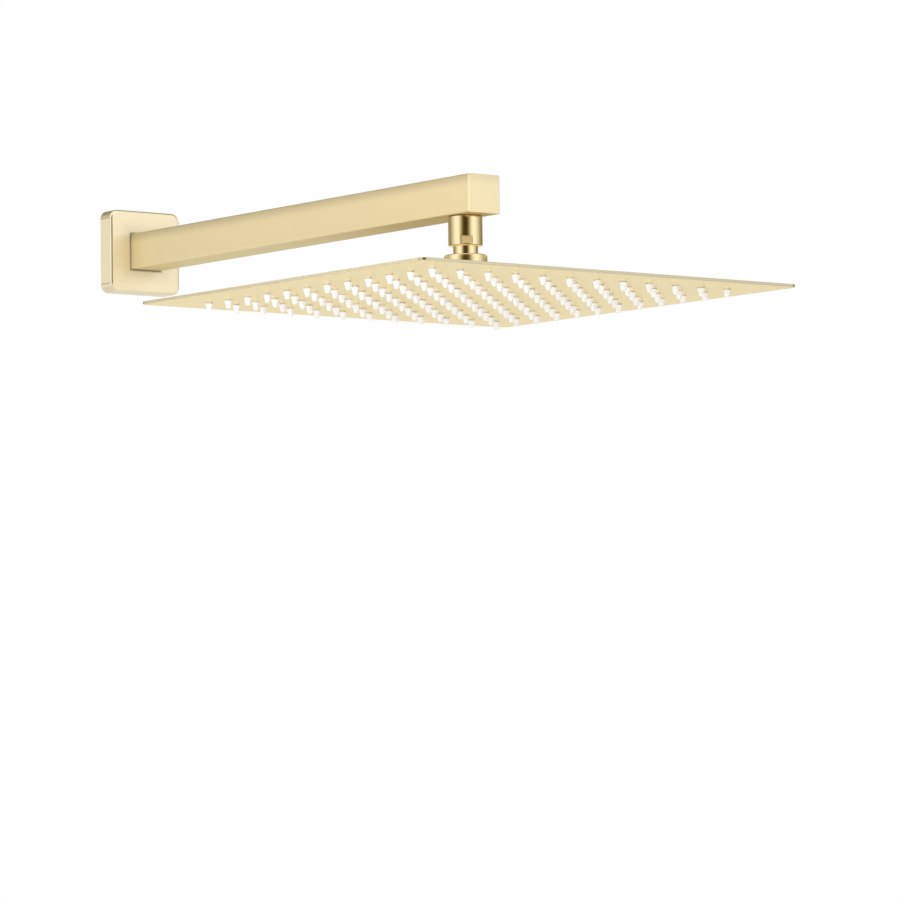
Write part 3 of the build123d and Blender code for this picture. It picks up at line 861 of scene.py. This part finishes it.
cap_outline += [
    (CAP_MOUTH, CAP_TOP), (CAP_MOUTH - CAP_CHAMFER, CAP_LIP), (CAP_RING_BORE, CAP_LIP),
    (CAP_RING_BORE, CAP_HUB_TOP), (CAP_HUB_BORE, CAP_HUB_TOP),
]
bm = bmesh.new()
turn_outline(bm, cap_outline, ABOVE_HEAD, UPWARD, TURNED_STEPS)
for side in (Vector((0, -1, 0)), Vector((0, 1, 0))):
    mill_flat(bm, side, CAP_FLAT_DISTANCE, CAP_FLAT_HEIGHTS)
cap_nut_gold = milled_metal("cap_nut_polished_gold", CAP_RADIUS - MILLED_MARGIN, CAP_FLAT_HEIGHTS,
                            CAP_FLAT_ROUGHNESS)
new_piece("cap_nut_turned", bm, cap_nut_gold, "head", "polished_gold_brass", "retaining_nut")

# --- Hub -------------------------------------------------------------------------------------------
# Brass boss that holds the ball seat, with a foot brazed round its edge to the head's top sheet. The
# braze is a smooth rounded bead.
BEAD_SIZE = 0.0006
BEAD_OVERLAP = 0.0001
BEAD_STEPS = 5
hub_low, hub_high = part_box("hub")
foot_radius = (hub_high.x - hub_low.x) / 2
hub_gold = turned_metal("hub_plated_gold", POLISHED_GOLD, (0.0, 0.0, 1.0), 0.16, 0.05, 0.02, POLISHED_EDGE)
dress("hub", hub_gold)
bm = bmesh.new()
bead = [(foot_radius - BEAD_OVERLAP, hub_low.z), (foot_radius + BEAD_SIZE, hub_low.z)]
for step in range(1, BEAD_STEPS):
    turn = math.radians(90) * step / BEAD_STEPS
    bead_radius = foot_radius + BEAD_SIZE * (1 - math.sin(turn))
    bead.append((bead_radius, hub_low.z + BEAD_SIZE * (1 - math.cos(turn))))
bead.append((foot_radius - BEAD_OVERLAP, hub_low.z + BEAD_SIZE))
turn_outline(bm, bead, OUTLET, UPWARD, 64)
bead_finish = moulded("braze_bead_gold", POLISHED_GOLD, 0.26, 0.15, 0.5)
bead_finish.node_tree.nodes["Principled BSDF"].inputs["Metallic"].default_value = 1.0
new_piece("hub_braze_bead", bm, bead_finish, "head", "polished_gold_brass")

# --- Head sheets and rim ---------------------------------------------------------------------------
# Two thin steel sheets on a narrow frame, welded around the edge. The faces are brushed across the
# arm and coated. The edge is ground flush and smoother, its colour darker than the faces, with bare metal
# on its four corners.
SHEET_GOLD = (0.94, 0.80, 0.50)
SHEET_GLANCE = (1.0, 0.96, 0.80)
SHEET_EDGE = (0.57, 0.50, 0.325)
SHEET_ROUGHNESS = 0.34
RIM_ROUGHNESS = 0.16
RIM_METALLIC = 0.5
EDGE_DEPTH = 0.0004
CORNER_REACH = 0.004
plate_low, plate_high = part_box("top_plate")
half_side = (plate_high.x - plate_low.x) / 2


def reach_over_head(tree):
    """How far a place lies from the head's middle: along the further axis, and along the nearer."""
    centred = tree.nodes.new("ShaderNodeVectorMath")
    centred.operation = "SUBTRACT"
    centred.inputs[1].default_value = OUTLET
    tree.links.new(object_place(tree), centred.inputs[0])
    spread = tree.nodes.new("ShaderNodeVectorMath")
    spread.operation = "ABSOLUTE"
    tree.links.new(centred.outputs[0], spread.inputs[0])
    sides = tree.nodes.new("ShaderNodeSeparateXYZ")
    tree.links.new(spread.outputs[0], sides.inputs[0])
    further = math_node(tree, "MAXIMUM", sides.outputs["X"], sides.outputs["Y"])
    return further, math_node(tree, "MINIMUM", sides.outputs["X"], sides.outputs["Y"])


def polish_corners(finish):
    """Shows bare polished metal on the head's four rounded corners."""
    tree = finish.node_tree
    shader = tree.nodes["Principled BSDF"]
    on_corner = math_node(tree, "GREATER_THAN", reach_over_head(tree)[1], half_side - CORNER_REACH)
    blend_in(tree, shader, "Metallic", on_corner, 1.0)
    return finish


def sheet_metal(name, stroke):
    """Brushed sheet whose outermost rim is ground smoother than the face and coloured darker."""
    finish = brushed_metal(name, SHEET_GOLD, stroke, SHEET_ROUGHNESS, glance=SHEET_GLANCE)
    tree = finish.node_tree
    shader = tree.nodes["Principled BSDF"]
    on_edge = math_node(tree, "GREATER_THAN", reach_over_head(tree)[0], half_side - EDGE_DEPTH)
    blend_in(tree, shader, "Base Color", on_edge, (*SHEET_EDGE, 1.0))
    blend_in(tree, shader, "Roughness", on_edge, RIM_ROUGHNESS)
    blend_in(tree, shader, "Metallic", on_edge, RIM_METALLIC)
    return polish_corners(finish)


dress("top_plate", sheet_metal("top_sheet_gold", CROSSWISE))
dress("face_plate", sheet_metal("face_sheet_gold", CROSSWISE))
rim_finish = brushed_metal("rim_ground_gold", SHEET_EDGE, (0.1, 0.1, 1.0), RIM_ROUGHNESS, depth=0.05,
                           metallic=RIM_METALLIC)
dress("rim_frame", polish_corners(rim_finish))

# --- Spacer studs ----------------------------------------------------------------------------------
# Short steel posts spot-welded between the sheets, so that the water pressure doesn't bulge them. They
# stand in the chamber between the rows of nozzles, as plain turned steel.
dress("spacer_studs", turned_metal("spacer_steel", SIEVE_STEEL, (0.0, 0.0, 1.0), 0.3, 0.1, 0.1))

# --- Nozzles ---------------------------------------------------------------------------------------
# Soft white silicone nozzles moulded with a head that stays inside the chamber, a waist through the
# sheet's hole, a collar below it and a tapered spout that a thumb can rub clean.
NOZZLE_ROWS = 12
NOZZLE_PITCH = 0.0215
NOZZLE_STEPS = 10
NOZZLE_HEAD = 0.0030
SILICONE = (0.97, 0.95, 0.935)
nozzle_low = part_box("nozzles")[0]
NOZZLE_OUTLINE = [
    (0.0011, 0.0011), (NOZZLE_HEAD, 0.0011), (NOZZLE_HEAD, 0.0005), (0.00195, 0.0005), (0.00195, -0.0003),
    (0.00275, -0.0006), (0.0021, -0.0024), (0.00145, -0.0052), (0.0012, -0.0055), (0.00045, -0.0055),
]
bm = bmesh.new()
first = Vector((nozzle_low.x + NOZZLE_HEAD, nozzle_low.y + NOZZLE_HEAD, HEAD_FOOT))
turn_outline(bm, NOZZLE_OUTLINE, first, UPWARD, NOZZLE_STEPS)
bmesh.ops.remove_doubles(bm, verts=bm.verts, dist=1e-6)
one_nozzle = bm.faces[:]
for step in range(1, NOZZLE_ROWS):
    copy = bmesh.ops.duplicate(bm, geom=one_nozzle)["geom"]
    bmesh.ops.translate(bm, vec=(NOZZLE_PITCH * step, 0, 0), verts=only_verts(copy))
one_row = bm.faces[:]
for step in range(1, NOZZLE_ROWS):
    copy = bmesh.ops.duplicate(bm, geom=one_row)["geom"]
    bmesh.ops.translate(bm, vec=(0, NOZZLE_PITCH * step, 0), verts=only_verts(copy))
silicone, tree, shader = start_material("moulded_white_silicone", SILICONE, 0.38)
shader.inputs["Subsurface Weight"].default_value = 0.4
shader.inputs["Subsurface Radius"].default_value = (0.0016, 0.0014, 0.0012)
shader.inputs["Subsurface Scale"].default_value = 1.0
effect = place_effect(tree, satin_coat, colour=(*SILICONE, 1.0), colour_spread=0.05, roughness=0.38,
                      roughness_spread=0.12, depth=0.05)
finish_surface(tree, shader, effect)
new_piece("silicone_nozzles", bm, silicone, "head", "white_silicone", "nozzles", smooth_angle=50)
